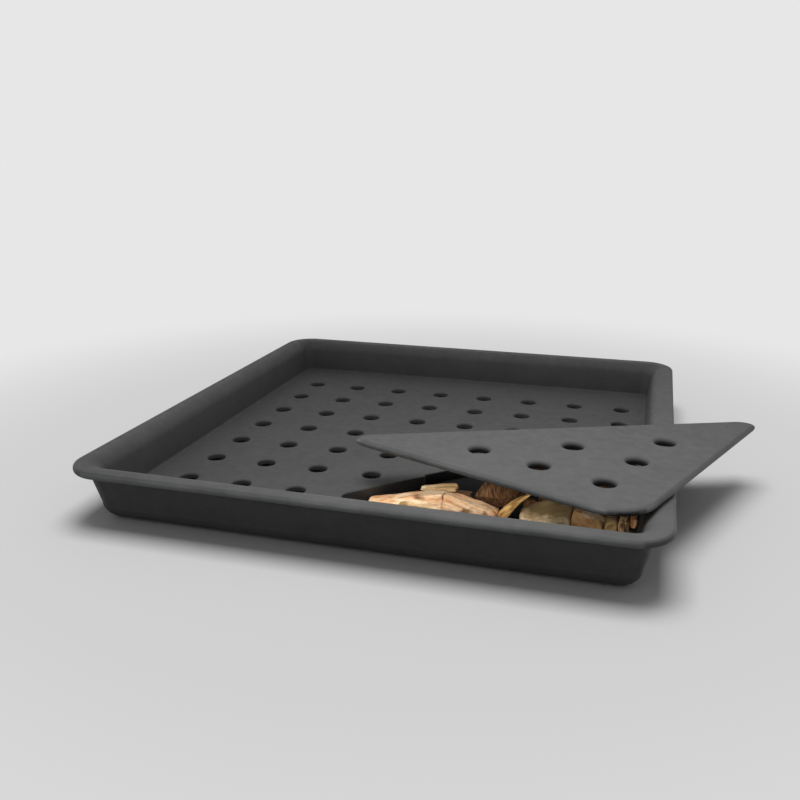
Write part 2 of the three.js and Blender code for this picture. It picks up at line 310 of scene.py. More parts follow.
def pocket_cutter():
    """Shrunk at the pocket's bottom and grown at its top, so that both edges come out round."""
    mouth = pocket_mouth()
    places = [(-POCKET_EDGE_ROUND * (1 - sine), POCKET_BOTTOM + POCKET_EDGE_ROUND * (1 - cosine))
              for sine, cosine in quarter(MOUTH_STEPS)]
    places += [(POCKET_EDGE_ROUND * (1 - cosine), FLOOR_HEIGHT - POCKET_EDGE_ROUND * (1 - sine))
               for sine, cosine in quarter(MOUTH_STEPS)]
    places.append((POCKET_EDGE_ROUND, FLOOR_HEIGHT + OVERRUN))
    rings = [rounded_outline(grown(mouth, amount), height) for amount, height in places]
    return skin("pocket_cutter", rings)


pocket_shape = pocket_cutter()
print("faces of the pocket's cutter:", len(pocket_shape.polygons))

# %% [markdown]
# Round holes
# Air rises to the coals through 41 holes on a square grid, and smoke leaves the lid through
# six. The mould rounds their upper edges. Each hole could be cut by itself, but a boolean cut
# is slow, so all the cutters of a casting are joined and cut it in one go.

# %% Shape the holes' cutters
HOLE_SIDES = 40


def hole_rings(centre, bore, mouth, low, high):
    """The rings of a cutter that widens by a quarter circle towards the top."""
    profile = [(bore, low - OVERRUN)]
    profile += [
        (bore + mouth * (1 - cosine), high - mouth * (1 - sine))
        for sine, cosine in quarter(MOUTH_STEPS)
    ]
    profile.append((bore + mouth, high + OVERRUN))
    turns = [math.tau * side / HOLE_SIDES for side in range(HOLE_SIDES)]
    rings = []
    for radius, height in profile:
        rings.append([Vector((
            centre.x + radius * math.cos(turn),
            centre.y + radius * math.sin(turn),
            height,
        )) for turn in turns])
    return rings


def joined(name, meshes):
    """Several closed meshes as one."""
    points, faces = [], []
    for mesh in meshes:
        start = len(points)
        points += [vertex.co.copy() for vertex in mesh.vertices]
        faces += [[start + corner for corner in face.vertices] for face in mesh.polygons]
    return mesh_from(name, points, faces)


print("sides of a hole:", HOLE_SIDES)

# %% Set the floor's holes out on their grid
HOLE_COLUMNS = 8
HOLES_SHIFT_RIGHT = 5 * MM
MOUTH_ROUND = 1.5 * MM
POCKET_TO_HOLES = 15 * MM


def behind_pocket(point):
    """How far a point lies behind the pocket's long side."""
    left_tip, _, _ = pocket_corners(0)
    return ((left_tip.x - left_tip.y) - (point.x - point.y)) / math.sqrt(2)


def floor_holes():
    """Holes on a square grid, leaving out those that would touch the pocket."""
    cutters = []
    for row in range(HOLE_ROWS):
        for column in range(HOLE_COLUMNS):
            centre = Vector((
                tray_foot.x + (column - (HOLE_COLUMNS - 1) / 2) * HOLE_PITCH + HOLES_SHIFT_RIGHT,
                tray_foot.y + (row - (HOLE_ROWS - 1) / 2) * HOLE_PITCH,
            ))
            if behind_pocket(centre) >= POCKET_TO_HOLES:
                rings = hole_rings(centre, BORE_RADIUS, MOUTH_ROUND, floor_underside, FLOOR_HEIGHT)
                cutters.append(skin("hole", rings))
    print("floor holes:", len(cutters))
    return joined("floor_holes", cutters)


hole_shapes = floor_holes()


# %% Cut the tray
def carved(mesh, cutter):
    """The mesh with the cutter's volume taken away."""
    body, knife = put_in_scene("body", mesh), put_in_scene("knife", cutter)
    cut = body.modifiers.new("cut", "BOOLEAN")
    cut.operation = "DIFFERENCE"
    cut.solver = "EXACT"
    cut.object = knife
    shown = body.evaluated_get(bpy.context.evaluated_depsgraph_get())
    result = bpy.data.meshes.new_from_object(shown)
    for piece in (body, knife):
        bpy.data.objects.remove(piece)
    return result


pocket_radii = (POCKET_TIP, POCKET_CORNER, POCKET_TIP)
pocket_block = [
    (point, radius + POCKET_WALL)
    for point, radius in zip(pocket_corners(POCKET_WALL), pocket_radii)
]
block_heights = (-2 * OVERRUN, FLOOR_HEIGHT)
hollow = carved(
    skin("hollow", [tray_ring(hollow_inset, -OVERRUN), tray_ring(hollow_inset, floor_underside)]),
    skin("block", [rounded_outline(pocket_block, height) for height in block_heights]),
)
tray_mesh = carved(carved(carved(dish, hollow), pocket_shape), hole_shapes)
print("tray faces:", len(tray_mesh.polygons))

# %% [markdown]
# The loose lid
# The lid is a flat triangular plate, cast with softened edges, one large round corner and six
# holes. It lies level across the right-hand rim, so the pocket shows in front of it. It
# could be one extruded outline with a bevel. Growing the outline ring by ring, as for the
# pocket, gives the same rounded edge with full control over its radius.

# %% Shape the lid and its holes
LID_LEG = 210 * MM
LID_EDGE = 2.2 * MM
LID_CORNER = 26 * MM
LID_TIP = 6 * MM
LID_HOLE_PITCH = 44 * MM
LID_HOLE_MARGIN = 35 * MM
LID_HOLES_ON_LEG = 3
LID_BORE = 6.5 * MM
LID_MOUTH = 3 * MM

lid_low, lid_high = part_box("pocket_lid")
lid_thickness = lid_high.z - lid_low.z


def lid_rings():
    outline = [
        (Vector((0, 0)), LID_CORNER),
        (Vector((LID_LEG, 0)), LID_TIP),
        (Vector((0, LID_LEG)), LID_TIP),
    ]
    return [
        rounded_outline(grown(outline, -inset), height)
        for inset, height in rounded_edge(LID_EDGE, 0, lid_thickness)
    ]


def lid_holes():
    cutters = []
    for row in range(LID_HOLES_ON_LEG):
        for column in range(LID_HOLES_ON_LEG - row):
            centre = Vector((
                LID_HOLE_MARGIN + column * LID_HOLE_PITCH,
                LID_HOLE_MARGIN + row * LID_HOLE_PITCH,
            ))
            rings = hole_rings(centre, LID_BORE, LID_MOUTH, 0, lid_thickness)
            cutters.append(skin("hole", rings))
    print("lid holes:", len(cutters))
    return joined("lid_holes", cutters)


lid_mesh = carved(skin("lid", lid_rings()), lid_holes())
print("lid faces:", len(lid_mesh.polygons))

# %% Lay the lid ajar
LID_YAW = math.radians(67.6)
LID_CORNER_FROM_RIGHT = 21.2 * MM
LID_CORNER_FROM_FRONT = 17.2 * MM

lid_corner = Vector((
    tray_high.x - LID_CORNER_FROM_RIGHT,
    tray_low.y + LID_CORNER_FROM_FRONT,
    lid_low.z,
))
place_lid = Matrix.Translation(lid_corner) @ Matrix.Rotation(LID_YAW, 4, "Z")
lid_mesh.transform(place_lid)
# Its finer round tip reaches a hair further right than the plain lid's, so it moves back.
too_far_right = max(vertex.co.x for vertex in lid_mesh.vertices) - lid_high.x
lid_mesh.transform(Matrix.Translation((-too_far_right, 0, 0)))
print("lid moved back, mm:", round(too_far_right / MM, 3))

# %% [markdown]
# Painted light and shade
# The castings' outer edges are painted pale, partly as wear and partly as painted light on
# their sides. Painted shade darkens the inside: thinly over the trough, and near black in the
# bottom of the pocket, in the lid's holes and under the lid. Marks like these could be painted
# by hand. Here each point of a casting works out its own from how far it lies from an edge or
# below the floor, and keeps it as two numbers that the iron reads further down.

# %% Work out the tray's painted light and shade
# Painted shade: how dark the trough's floor and walls are painted, and how it fades up the walls.
FLOOR_PAINTED_SHADE = 0.18
WALL_PAINTED_SHADE = 0.3
WALL_SHADE_FADE = 9 * MM
PAINT_MARGIN = 1 * MM


def eased(share):
    """0 below 0, 1 above 1, and a smooth step between them."""
    held = min(1, max(0, share))
    return held * held * (3 - 2 * held)


def edge_wear_and_light(inset, depth, edge):
    """How pale an edge is painted, partly as wear and partly as painted light on its side: 1 round
    the lower half of an edge that is this far out and down, and 0 on the flats.
    """
    return eased(2 * (1 - inset / edge)) * eased(depth / edge)


def tray_light_and_shade(point):
    """How pale the tray is painted on its lip, as wear and painted light, and how much
    painted shade it has inside: thin over the trough, more on its walls, and thick in the
    pocket's bottom and its step."""
    inset_x = half_width - abs(point.x - tray_foot.x)
    inset_y = half_depth - abs(point.y - tray_foot.y)
    inset = min(inset_x, inset_y)
    # The lip's outer edge is painted pale, partly as wear and partly as painted light on its side.
    worn_and_lit = edge_wear_and_light(inset, tray_height - point.z, LIP_EDGE)
    above_floor = point.z > FLOOR_HEIGHT and inset > RIM_WIDTH - PAINT_MARGIN
    if not (above_floor or inset > floor_inset - 2 * PAINT_MARGIN):
        return worn_and_lit, 0
    below = FLOOR_HEIGHT - point.z
    up_wall = eased(-below / FLOOR_FILLET)
    fade = eased((tray_height - RIM_INNER_ROUND + PAINT_MARGIN - point.z) / WALL_SHADE_FADE)
    # Painted shade over the trough: thin on the floor, more up the walls, fading towards the rim.
    thin = (FLOOR_PAINTED_SHADE + (WALL_PAINTED_SHADE - FLOOR_PAINTED_SHADE) * up_wall) * fade
    behind = behind_pocket(point)
    if behind > NOTCH_DEPTH + POCKET_EDGE_ROUND:
        return worn_and_lit, thin
    # Painted shade: the pocket's bottom and its stepped-back part are painted near black.
    if behind > NOTCH_DEPTH / 2 or point.z < POCKET_BOTTOM + POCKET_EDGE_ROUND / 2:
        return worn_and_lit, max(thin, eased(below / (2 * POCKET_EDGE_ROUND)))
    return worn_and_lit, thin * (1 - eased(below / POCKET_EDGE_ROUND))


# How much painted shade the middle of the floor gets.
_, middle_shade = tray_light_and_shade(tray_foot + Vector((0, 0, FLOOR_HEIGHT)))
print("soot in the middle of the floor:", round(middle_shade, 2))

# %% Work out the lid's painted light and shade
LID_SHADE_FADE = 4 * MM


def lid_light_and_shade(point):
    """The same for the lid, whose edge is as far away as the nearest side of its triangle. Its
    holes and its underside get painted shade, darker the further below its top they lie."""
    x, y, height = place_lid.inverted() @ point
    inset = min(x, y, (LID_LEG - x - y) / math.sqrt(2))
    depth = lid_thickness - height
    if inset < LID_EDGE + PAINT_MARGIN:
        return edge_wear_and_light(inset, depth, LID_EDGE), 0
    # Painted shade in the lid's holes and under it.
    return 0, eased(depth / LID_SHADE_FADE)


def mark_light_and_shade(casting, mesh, light_and_shade_of):
    """Keeps how pale each point is painted at an edge, as wear and painted light, and how much
    painted shade it has, for the iron to read.
    """
    marks = [light_and_shade_of(vertex.co) for vertex in mesh.vertices]
    for name, values in zip(("worn_and_lit", "painted_shade"), zip(*marks)):
        held = mesh.attributes.new(name, "FLOAT", "POINT")
        held.data.foreach_set("value", values)
        many = sum(part > 0.5 for part in values)
        print(f"points of the {casting} that are mostly {name}: {many}")


mark_light_and_shade("tray", tray_mesh, tray_light_and_shade)
mark_light_and_shade("lid", lid_mesh, lid_light_and_shade)

# %% [markdown]
# Shading
# Flat faces beside small rounds shade badly when every edge is smooth: the light smears across
# the flats. More faces would cure it slowly. Weighted normals cure it at once, because each
# large flat face keeps its own direction and only the rounds bend the light. Edges sharper
# than a limit stay crisp.

# %% Put the castings into the scene
SHARP_ANGLE = math.radians(40)


def cast_piece(name, mesh, node, body):
    """Shows a casting in place of its plain node, riding on the same body."""
    piece = put_in_scene(name, mesh)
    mesh.shade_smooth()
    mesh.set_sharp_from_angle(angle=SHARP_ANGLE)
    weigh = piece.modifiers.new("weigh_normals", "WEIGHTED_NORMAL")
    weigh.keep_sharp = True
    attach(piece, body)
    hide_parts(node)
    return piece


tray = cast_piece("cast_tray", tray_mesh, "tray_casting", "tray")
lid = cast_piece("cast_lid", lid_mesh, "pocket_lid", "lid")
print("castings:", tray.name, lid.name)

# %% [markdown]
# Split wood chips
# Smoking chips are split, not sawn: their long sides follow the grain, with ledges where a
# layer tore away, and their ends are broken and splintery. They could be drawn one by one,
# but splitting them by rule suits their nature. Each chip of the frame is turned so that its
# grain lies along X, trimmed by slanting planes as if by an axe, and filled with small even
# faces. Those faces then sink by noise that is stretched along the grain. At last the chip is
# turned back, and each point keeps its place in the grain for the wood to follow.


# %% Find each chip's own axes
def grain_axes(node, spin):
    """The chip's middle and a matrix whose columns run along its grain, across it and through
    it. The grain runs the long way, or is turned from it by the given number of degrees."""
    points = np.array([vertex.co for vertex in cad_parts[node].data.vertices])
    middle = points.mean(axis=0)
    _, _, ways = np.linalg.svd(points - middle, full_matrices=False)
    long_way = Vector(ways[0] * (1 if ways[0][0] >= 0 else -1)).normalized()
    thin_way = Vector(ways[2] * (1 if ways[2][2] >= 0 else -1)).normalized()
    broad_way = thin_way.cross(long_way)
    turned = Matrix.Rotation(math.radians(spin), 3, thin_way)
    turn = Matrix((turned @ long_way, turned @ broad_way, thin_way)).transposed().to_4x4()
    return Matrix.Translation(Vector(middle)) @ turn


example_way = grain_axes("wood_chip_01", 0).col[0].xyz
print("long way of the first chip:", [round(part, 2) for part in example_way])

# %% Draft a chip
WELD = 0.01 * MM


def chip_draft(node, square):
    """The chip of the frame, or for a squarely split one a block of this share of its size."""
    draft = bmesh.new()
    draft.from_mesh(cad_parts[node].data)
    bmesh.ops.remove_doubles(draft, verts=draft.verts[:], dist=WELD)
    if square:
        own_axes = grain_axes(node, 0)
        points = [own_axes.inverted() @ vertex.co for vertex in draft.verts]
        low = Vector([min(point[axis] for point in points) for axis in range(3)])
        high = Vector([max(point[axis] for point in points) for axis in range(3)])
        block = Matrix.Translation((low + high) / 2) @ Matrix.Diagonal((*(high - low) * square, 1))
        draft.clear()
        bmesh.ops.create_cube(draft, size=1, matrix=own_axes @ block)
    return draft


print("chips to split:", sum(name.startswith("wood_chip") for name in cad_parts))

# %% Split a chip with slanting planes
SPLITS = 4
BREAKS = 4
# How far the splits stray from even turns and lean, and how far the breaks slant and tilt.
SPLIT_WANDER = 0.5
SPLIT_LEAN = 0.2
BREAK_LEAST_SLANT = 0.15
BREAK_MORE_SLANT = 0.6
BREAK_TILT = 0.9
TRIMMED_SHARE = 0.05


def draws(seed, index):
    """Three steady numbers between 0 and 1 for one cut of one chip, whose middle is 0.5."""
    return noise.cell_vector(Vector((seed + 0.5, index + 0.5, 0.5)))


def cutting_way(draw, index):
    """Four splits face out from the grain, and then two slanting breaks face out at each end."""
    if index < SPLITS:
        angle = (index + 0.5 + SPLIT_WANDER * (draw.x - 0.5)) * math.tau / SPLITS
        return Vector((SPLIT_LEAN * (draw.y - 0.5), math.cos(angle), math.sin(angle)))
    side = 1 if index % 2 == 0 else -1
    lean = 1 if index < SPLITS + BREAKS / 2 else -1
    slant = lean * (BREAK_LEAST_SLANT + BREAK_MORE_SLANT * draw.x)
    return Vector((side, slant, BREAK_TILT * (draw.y - 0.5)))


def split_with_planes(shape, size, seed, ends):
    """Cuts the shape back by one plane after another, and closes each cut with a face."""
    for index in range(SPLITS + BREAKS):
        draw = draws(seed, index)
        way = cutting_way(draw, index).normalized()
        share = 1 - TRIMMED_SHARE * ends * draw.z
        reach = sum(abs(way[axis]) * size[axis] / 2 for axis in range(3))
        cut = bmesh.ops.bisect_plane(
            shape,
            geom=shape.verts[:] + shape.edges[:] + shape.faces[:],
            plane_co=way * reach * share,
            plane_no=way,
            clear_outer=True,
        )
        rim = [part for part in cut["geom_cut"] if isinstance(part, bmesh.types.BMEdge)]
        if rim:
            bmesh.ops.edgeloop_fill(shape, edges=rim)


print("cuts to each chip:", SPLITS + BREAKS)

# %% Fill a chip with fine faces
FINE_FACE = 0.55 * MM


def with_fine_faces(mesh):
    """The same shape with small, even faces, which can sink smoothly."""
    piece = put_in_scene("chip_draft", mesh)
    even = piece.modifiers.new("even_faces", "REMESH")
    even.mode = "VOXEL"
    even.voxel_size = FINE_FACE
    shown = piece.evaluated_get(bpy.context.evaluated_depsgraph_get())
    result = bpy.data.meshes.new_from_object(shown)
    bpy.data.objects.remove(piece)
    return result


print("a fine face, mm:", round(FINE_FACE / MM, 2))

# %% How deep the grain sinks each point
GRAIN_STRETCH = 0.12
FIBRE_WIDTH = 1.1 * MM
FIBRE_DEPTH = 0.2 * MM
LEDGE_WIDTH = 4.5 * MM
LEDGE_DEPTH = 0.7 * MM
LEDGE_LEVELS = 3
LEDGE_FLAT_SHARE = 0.35
LEDGE_RISE_SHARE = 0.3
LUMP_WIDTH = 11 * MM
LUMP_DEPTH = 0.6 * MM
RIDGE_WIDTH = 1.9 * MM
RIDGE_DEPTH = 0.35 * MM


def noise_between(place):
    """Smooth noise that mostly lies between 0 and 1."""
    return 0.5 + 0.5 * noise.noise(place)


def sunk_depth(point, offset, ridged, rough):
    """Fibres, ledges and lumps together. A ledge stays flat, and then rises to the next."""
    grain = Vector((point.x * GRAIN_STRETCH, point.y, point.z))
    fibre = noise_between(grain / FIBRE_WIDTH + offset)
    ledge = noise_between(grain / LEDGE_WIDTH + offset * 2)
    lump = noise_between(point / LUMP_WIDTH + offset * 3)
    level, part = divmod(ledge * LEDGE_LEVELS, 1)
    rise = min(1, max(0, (part - LEDGE_FLAT_SHARE) / LEDGE_RISE_SHARE))
    ledge = (level + rise) / LEDGE_LEVELS
    depth = rough * (FIBRE_DEPTH * fibre + LEDGE_DEPTH * ledge + LUMP_DEPTH * lump)
    if ridged:
        depth += RIDGE_DEPTH * (0.5 + 0.5 * math.sin(math.tau * point.y / RIDGE_WIDTH))
    return depth


deepest = FIBRE_DEPTH + LEDGE_DEPTH + LUMP_DEPTH
print("deepest at a roughness of 1, mm:", round(deepest / MM, 2))

# %% Let the grain sink the points
SEED_STEP = Vector((7.3, 3.1, 1.7))
THIN_CHIP = 8 * MM
SPLINTER_WIDTH = 1.76 * MM
SPLINTER_LENGTH = 1.6 * MM
SPLINTER_POWER = 6


def torn_length(point, offset, half_length, ends):
    """How far the chip falls short here: a splinter's length at its end, and soon nothing."""
    tear = noise_between(Vector((0, point.y, point.z)) / SPLINTER_WIDTH + offset)
    to_end = abs(point.x) / half_length
    return math.copysign(ends * SPLINTER_LENGTH * tear * to_end ** SPLINTER_POWER, point.x)


def sink_along_grain(mesh, size, seed, ridged, ends, swell, rough):
    """Moves each point in, and tears the ends to splinters. The whole surface first swells by
    a share of the mean depth. With a share of 1 the chip keeps its size."""
    offset = SEED_STEP * seed
    rough *= min(1, size[2] / THIN_CHIP)
    depths = [sunk_depth(vertex.co, offset, ridged, rough) for vertex in mesh.vertices]
    level = swell * sum(depths) / len(depths)
    moved = []
    for vertex, depth in zip(mesh.vertices, depths):
        short = torn_length(vertex.co, offset, size[0] / 2, ends)
        moved.append(vertex.co - vertex.normal * (depth - level) - Vector((short, 0, 0)))
    for vertex, point in zip(mesh.vertices, moved):
        vertex.co = point
    mesh.update()


print("longest splinter, mm:", round(SPLINTER_LENGTH / MM, 1))


# %% Split a whole chip
def keep_grain(mesh):
    """Stores where each point lies in the chip's own axes, so that the wood can follow them."""
    kept = mesh.attributes.new("grain", "FLOAT_VECTOR", "POINT")
    kept.data.foreach_set("vector", [part for vertex in mesh.vertices for part in vertex.co])


def split_chip(node, seed, spin, square, ridged, ends, swell, rough):
    """The split chip, and the way its grain runs."""
    to_grain = grain_axes(node, spin)
    shape = chip_draft(node, square)
    shape.transform(to_grain.inverted())
    spans = [[vertex.co[axis] for vertex in shape.verts] for axis in range(3)]
    size = [max(span) - min(span) for span in spans]
    split_with_planes(shape, size, seed, ends)
    mesh = bpy.data.meshes.new(node)
    shape.to_mesh(mesh)
    shape.free()
    fine = with_fine_faces(mesh)
    sink_along_grain(fine, size, seed, ridged, ends, swell, rough)
    fine.shade_smooth()
    keep_grain(fine)
    fine.transform(to_grain)
    print(node, "size along, across and through its grain, mm:",
          [round(length / MM, 1) for length in size])
    return put_in_scene(node.replace("wood_chip", "split_chip"), fine), to_grain.col[0].xyz


# %% [markdown]
# Trees of nodes
# Every finish below is a tree of nodes: small boxes that each work out one number or colour
# for a point of the surface. They could be joined up by hand in the shader editor. In a
# script, a few short helpers keep them readable: they add a node and fill its inputs, spread
# a number over a row of tones, mix two colours, and do a sum.


# %% Node helpers
def fill(tree, socket, value):
    """Links an input to another node's output, or gives it a fixed value."""
    if isinstance(value, bpy.types.NodeSocket):
        tree.links.new(value, socket)
    else:
        socket.default_value = value


def add_node(tree, kind, settings=None, **inputs):
    made = tree.nodes.new("ShaderNode" + kind)
    for name, value in (settings or {}).items():
        setattr(made, name, value)
    for name, value in inputs.items():
        fill(tree, made.inputs[name.replace("_", " ")], value)
    return made


def calculate(tree, operation, *values, kind="Math"):
    """A sum that a node does with fixed numbers or other nodes' outputs."""
    made = add_node(tree, kind, {"operation": operation})
    for socket, value in zip(made.inputs, values):
        fill(tree, socket, value)
    return made.outputs["Value"]


def stored(tree, name, output):
    """What each point of the mesh keeps under this name."""
    return add_node(tree, "Attribute", {"attribute_name": name}).outputs[output]


def empty_material(name):
    material = bpy.data.materials.new(name)
    material.use_nodes = True
    material.node_tree.nodes.clear()
    return material, material.node_tree


def shaded_material(name):
    material, tree = empty_material(name)
    shader = add_node(tree, "BsdfPrincipled")
    add_node(tree, "OutputMaterial", Surface=shader.outputs["BSDF"])
    return material, tree, shader


print("node helpers ready")


# %% Colour helpers
def from_screen(red, green, blue):
    """A colour as a screen shows it, from 0 to 255, turned into the light that it stands for."""
    def light(level):
        share = level / 255
        return share / 12.92 if share <= 0.04045 else ((share + 0.055) / 1.055) ** 2.4
    return (light(red), light(green), light(blue), 1)


def grey(level):
    return (level, level, level, 1)


def color_ramp(tree, factor, stops):
    made = add_node(tree, "ValToRGB", Fac=factor)
    ramp = made.color_ramp
    while len(ramp.elements) < len(stops):
        ramp.elements.new(1)
    for element, (place, color) in zip(ramp.elements, stops):
        element.position = place
        element.color = color
    return made.outputs["Color"]


def mix_colors(tree, factor, first, second, blend="MIX"):
    made = add_node(tree, "Mix", {"data_type": "RGBA", "blend_type": blend})
    named = {socket.identifier: socket for socket in made.inputs}
    fill(tree, named["Factor_Float"], factor)
    fill(tree, named["A_Color"], first)
    fill(tree, named["B_Color"], second)
    return {socket.identifier: socket for socket in made.outputs}["Result_Color"]


print("the light of a middle grey:", round(from_screen(128, 128, 128)[0], 3))

# %% [markdown]
# Cast iron
# Cast iron keeps the skin of the sand mould: a matt, fine, even grain, a little mottled in
# tone, and paler on its outer edges, which is partly wear and partly painted light. Its
# colour also carries painted shade, near black where the castings are marked for it. An image
# could carry this, but it would stretch and repeat. Here noise of several sizes does it: fine
# grains and small pits for the sand, a middle size for the shine, and a broad one for the tone.

# %% Make cast iron
IRON_DARK = from_screen(90, 91, 90)
IRON_LIGHT = from_screen(99, 100, 99)
# The pale of the edges, partly wear and partly painted light.
IRON_WORN_AND_LIT = from_screen(160, 162, 162)
# The near black of painted shade.
IRON_PAINTED_SHADE = from_screen(14, 13, 13)
# The scales say how many grains, pits or patches lie along a metre.
TONE_SCALE = 45
SHINE_SCALE = 160
PIT_SCALE = 420
SAND_SCALE = 1300
SAND_DEPTH = 0.1 * MM
PIT_DEPTH = 0.12 * MM


def iron_color(tree, tone, sand, painted_shade):
    """Mottled and speckled, painted paler at the edges as wear and painted light, and painted
    near black where it has painted shade.
    """
    base = color_ramp(tree, tone, ((0.3, IRON_DARK), (0.7, IRON_LIGHT)))
    speck = color_ramp(tree, sand, ((0.3, grey(0.9)), (0.7, grey(1.08))))
    speckled = mix_colors(tree, 1, base, speck, "MULTIPLY")
    patchy = calculate(tree, "MULTIPLY", stored(tree, "worn_and_lit", "Fac"), tone)
    pale_edge_share = color_ramp(tree, patchy, ((0.05, grey(0)), (0.55, grey(0.7))))
    # Pale edges: partly wear, partly painted light.
    worn_and_lit = mix_colors(tree, pale_edge_share, speckled, IRON_WORN_AND_LIT)
    # Painted shade, towards near black.
    return mix_colors(tree, painted_shade, worn_and_lit, IRON_PAINTED_SHADE)


def cast_iron():
    material, tree, shader = shaded_material("cast_iron")
    place = add_node(tree, "TexCoord").outputs["Object"]
    tone = add_node(tree, "TexNoise", Vector=place, Scale=TONE_SCALE, Detail=5,
                    Roughness=0.62).outputs["Fac"]
    sand = add_node(tree, "TexNoise", Vector=place, Scale=SAND_SCALE, Detail=3,
                    Roughness=0.6).outputs["Fac"]
    pits = add_node(tree, "TexVoronoi", Vector=place, Scale=PIT_SCALE, Randomness=1)
    shine = add_node(tree, "TexNoise", Vector=place, Scale=SHINE_SCALE, Detail=4)
    painted_shade = stored(tree, "painted_shade", "Fac")
    fill(tree, shader.inputs["Base Color"], iron_color(tree, tone, sand, painted_shade))
    bare = color_ramp(tree, shine.outputs["Fac"], ((0.3, grey(0.56)), (0.7, grey(0.72))))
    rough = mix_colors(tree, painted_shade, bare, grey(0.95))
    fill(tree, shader.inputs["Roughness"], rough)
    shader.inputs["Specular IOR Level"].default_value = 0.3
    grain = add_node(tree, "Bump", Height=sand, Strength=0.3, Distance=SAND_DEPTH)
    pitted = add_node(tree, "Bump", Height=pits.outputs["Distance"], Strength=0.14,
                      Distance=PIT_DEPTH, Normal=grain.outputs["Normal"])
    fill(tree, shader.inputs["Normal"], pitted.outputs["Normal"])
    return material


iron = cast_iron()
for casting in (tray, lid):
    casting.data.materials.append(iron)
iron_tones = (IRON_DARK, IRON_LIGHT, IRON_WORN_AND_LIT, IRON_PAINTED_SHADE)
print("iron tones:", [round(tone[0], 3) for tone in iron_tones])

# %% [markdown]
# Split wood
# Dry split wood is streaky: pale and dark layers of growth run along the grain, with finer
# fibres inside them, and the broken ends are darker than the long sides. Some chips carry a
# patch of bark or weathered skin; on one the pale patch over its top is partly painted light.
# A wave pattern would look like a plank, so stretched noise is used, along the grain that
# each chip keeps, and each chip has tones of its own.

# %% Layers, patches and ends of the wood
LAYER_STRETCH = 0.14
FLAT_LAYER_STRETCH = 0.4
FIBRE_SCALE = 1100
BLOTCH_SCALE = 75
PATCH_REACH = 60 * MM
PATCH_START = 0.68
PATCH_SPREAD = 0.3
PATCH_COVER = 0.92
END_SHADE = 0.35


def bark_share(tree, spot, blotch, patch, towards, soft):
    """Where bark or weathered skin lies: in blotches, more of them the given way. On one chip
    this is a pale top that is partly painted light.
    """
    slope = [part / PATCH_REACH for part in towards]
    lean = calculate(tree, "DOT_PRODUCT", spot, slope, kind="VectorMath")
    leaning = calculate(tree, "ADD", blotch, lean)
    edge = PATCH_START - PATCH_SPREAD * patch
    return color_ramp(tree, leaning, ((edge - soft, grey(0)), (edge + soft, grey(PATCH_COVER))))


def end_share(tree, grain_way):
    """Where the surface faces along the grain, either way: the broken ends."""
    facing = add_node(tree, "TexCoord").outputs["Normal"]
    along = calculate(tree, "DOT_PRODUCT", facing, grain_way, kind="VectorMath")
    either_way = calculate(tree, "ABSOLUTE", along)
    return color_ramp(tree, either_way, ((0.6, grey(0)), (0.95, grey(END_SHADE))))


print("layers are stretched", round(1 / LAYER_STRETCH, 1), "times along the grain")

# %% Make split wood
GRAIN_STEP = (0.31, 0.17, 0.23)
FIBRE_BUMP = 0.3 * MM
LAYER_BUMP = 0.6 * MM


def split_wood(name, tones, seed, grain_way, patch, towards, soft, stripes, ridged):
    dark, middle, light, bark = (from_screen(*tone) for tone in tones)
    material, tree, shader = shaded_material(name)
    spot = stored(tree, "grain", "Vector")
    place = add_node(tree, "Mapping", Vector=spot,
                     Location=[step * seed for step in GRAIN_STEP]).outputs["Vector"]
    stretch = (LAYER_STRETCH, 1 if ridged else FLAT_LAYER_STRETCH, 1)
    along = add_node(tree, "Mapping", Vector=place, Scale=stretch).outputs["Vector"]
    layers = add_node(tree, "TexNoise", Vector=along, Scale=stripes, Detail=3,
                      Roughness=0.6, Distortion=0.4).outputs["Fac"]
    fibres = add_node(tree, "TexNoise", Vector=along, Scale=FIBRE_SCALE, Detail=5,
                      Roughness=0.65).outputs["Fac"]
    blotch = add_node(tree, "TexNoise", Vector=place, Scale=BLOTCH_SCALE, Detail=4)
    growth = color_ramp(tree, layers, ((0.32, dark), (0.46, middle), (0.62, light)))
    streak = color_ramp(tree, fibres, (
        (0.3, (0.62, 0.56, 0.5, 1)), (0.52, grey(1)), (0.75, (1.12, 1.1, 1.06, 1))))
    wood = mix_colors(tree, 1, growth, streak, "MULTIPLY")
    where = bark_share(tree, spot, blotch.outputs["Fac"], patch, towards, soft)
    patched = mix_colors(tree, where, wood, bark)
    color = mix_colors(tree, end_share(tree, grain_way), patched, dark)
    fill(tree, shader.inputs["Base Color"], color)
    rough = color_ramp(tree, fibres, ((0.3, grey(0.9)), (0.7, grey(0.66))))
    fill(tree, shader.inputs["Roughness"], rough)
    shader.inputs["Specular IOR Level"].default_value = 0.25
    fine = add_node(tree, "Bump", Height=fibres, Strength=0.7, Distance=FIBRE_BUMP)
    broad = add_node(tree, "Bump", Height=layers, Strength=0.5, Distance=LAYER_BUMP,
                     Normal=fine.outputs["Normal"])
    fill(tree, shader.inputs["Normal"], broad.outputs["Normal"])
    return material


print("fibres in a millimetre:", round(FIBRE_SCALE * MM, 1))

